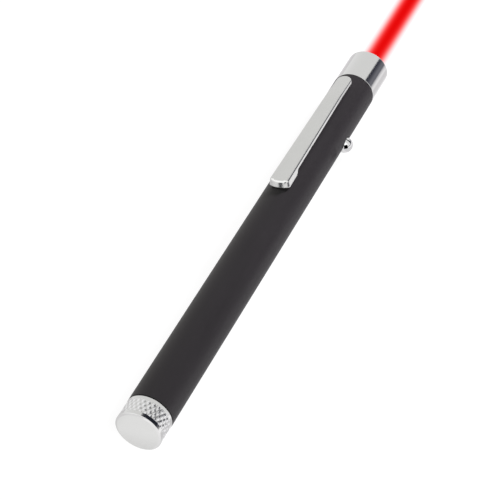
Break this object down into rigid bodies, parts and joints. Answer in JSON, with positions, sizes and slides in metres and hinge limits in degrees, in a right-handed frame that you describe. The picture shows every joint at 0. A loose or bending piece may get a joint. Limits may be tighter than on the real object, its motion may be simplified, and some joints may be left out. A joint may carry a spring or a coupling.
{
  "type": "laser pointer",
  "caption": "Pen-shaped laser pointer: black barrel, knurled screw tail cap, side push button, sprung pocket clip and bright nose ring.",
  "frame": {"origin": "centre of the tail cap's flat end face", "axes": "+Y along the pen from the tail to the nose, the way the light leaves; +Z from the axis through the middle of the pocket clip; +X completes the frame"},
  "size_m": [0.0145, 0.1623, 0.0153],
  "materials": {
    "black_lacquer": "matte black lacquer on a drawn metal tube",
    "chrome_plate": "bright chrome plate",
    "clip_chrome": "bright chrome plate on a stamped sheet",
    "brass": "turned brass",
    "spring_steel": "nickel-plated spring wire",
    "black_plastic": "moulded black plastic",
    "nylon": "pale nylon",
    "board_green": "glass-fibre board with green solder mask",
    "chip_ceramic": "surface-mount ceramic",
    "tin_plate": "tinned sheet",
    "optical_glass": "clear polished glass",
    "cell_jacket": "plain printed film over the cell's can"
  },
  "bodies": {
    "pen": {"barrel": "black_lacquer", "nose_cap": "chrome_plate", "laser_housing": "brass", "focus_nut": "brass", "contact_rivet": "brass", "diode_stem": "brass", "diode_can": "brass", "contact_spring": "spring_steel", "lens_spring": "spring_steel", "contact_plug": "black_plastic", "lens_bezel": "black_plastic", "driver_chip": "black_plastic", "switch_base": "black_plastic", "rear_cell_seal": "nylon", "front_cell_seal": "nylon", "circuit_board": "board_green", "resistor_1": "chip_ceramic", "resistor_2": "chip_ceramic", "capacitor": "chip_ceramic", "switch_cover": "tin_plate", "switch_leg_1": "tin_plate", "switch_leg_2": "tin_plate", "switch_leg_3": "tin_plate", "switch_leg_4": "tin_plate", "rear_cell_stud": "tin_plate", "front_cell_stud": "tin_plate", "lens": "optical_glass", "diode_window": "optical_glass", "rear_cell_can": "cell_jacket", "front_cell_can": "cell_jacket"},
    "cap_carriage": {"spring_washer": "brass", "tail_spring": "spring_steel"},
    "cap": {"tail_cap": "chrome_plate"},
    "push_button": {"button": "chrome_plate"},
    "plunger": {"switch_plunger": "black_plastic"},
    "clip": {"clip": "clip_chrome"}
  },
  "joints": [
    {"name": "cap_travel", "type": "slide", "parent": "pen", "child": "cap_carriage", "axis": [0, -1, 0], "range_m": [0, 0.0045]},
    {"name": "cap_turn", "type": "hinge", "parent": "cap_carriage", "child": "cap", "pos_m": [0, 0, 0], "axis": [0, -1, 0], "range_deg": [0, 1620]},
    {"name": "button_press", "type": "slide", "parent": "pen", "child": "push_button", "axis": [-0.866, 0, 0.5], "range_m": [0, 0.0005], "stiffness_N_per_m": 400, "springref_m": -0.002},
    {"name": "plunger_press", "type": "slide", "parent": "pen", "child": "plunger", "axis": [-0.866, 0, 0.5], "range_m": [0, 0.0005]},
    {"name": "clip_flex", "type": "hinge", "parent": "pen", "child": "clip", "pos_m": [0, 0.14265, 0.006], "axis": [-1, 0, 0], "range_deg": [0, 3.5], "stiffness_Nm_per_rad": 2, "springref_deg": -2.86}
  ],
  "couplings": [
    {"joint": "cap_travel", "follows": "cap_turn", "m_per_rad": 0.00015915},
    {"joint": "plunger_press", "follows": "button_press", "ratio": 1}
  ]
}
